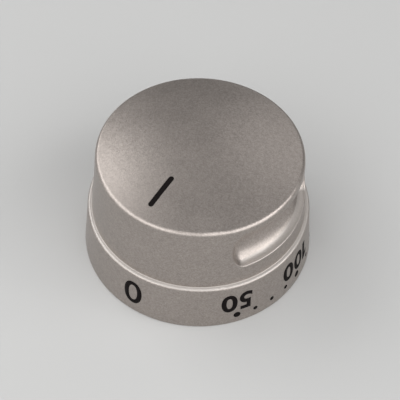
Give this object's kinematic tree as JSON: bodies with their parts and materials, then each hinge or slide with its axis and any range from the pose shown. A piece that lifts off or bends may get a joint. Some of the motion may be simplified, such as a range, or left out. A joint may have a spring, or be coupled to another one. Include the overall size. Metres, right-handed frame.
{
  "type": "stove knob",
  "caption": "Round skirted control knob with a domed crown, finger scoops on two sides, a scale on its skirt and a ribbed hub with a D socket and spring leaf.",
  "frame": {"origin": "centre of the skirt's foot, on the surface the knob stands on", "axes": "+Z along the shaft's axis, up through the crown; the pointer lies towards -Y and the finger scoops towards +X and -X"},
  "size_m": [0.048, 0.048, 0.0286],
  "materials": {
    "silver_lacquer": "moulded plastic under warm silver metallic lacquer, satin, with a fine sparkle",
    "spring_steel": "bright rolled strip",
    "black_print": "flat black printing ink"
  },
  "bodies": {
    "root": {"knob_body": "silver_lacquer", "shaft_spring": "spring_steel"}
  },
  "joints": []
}
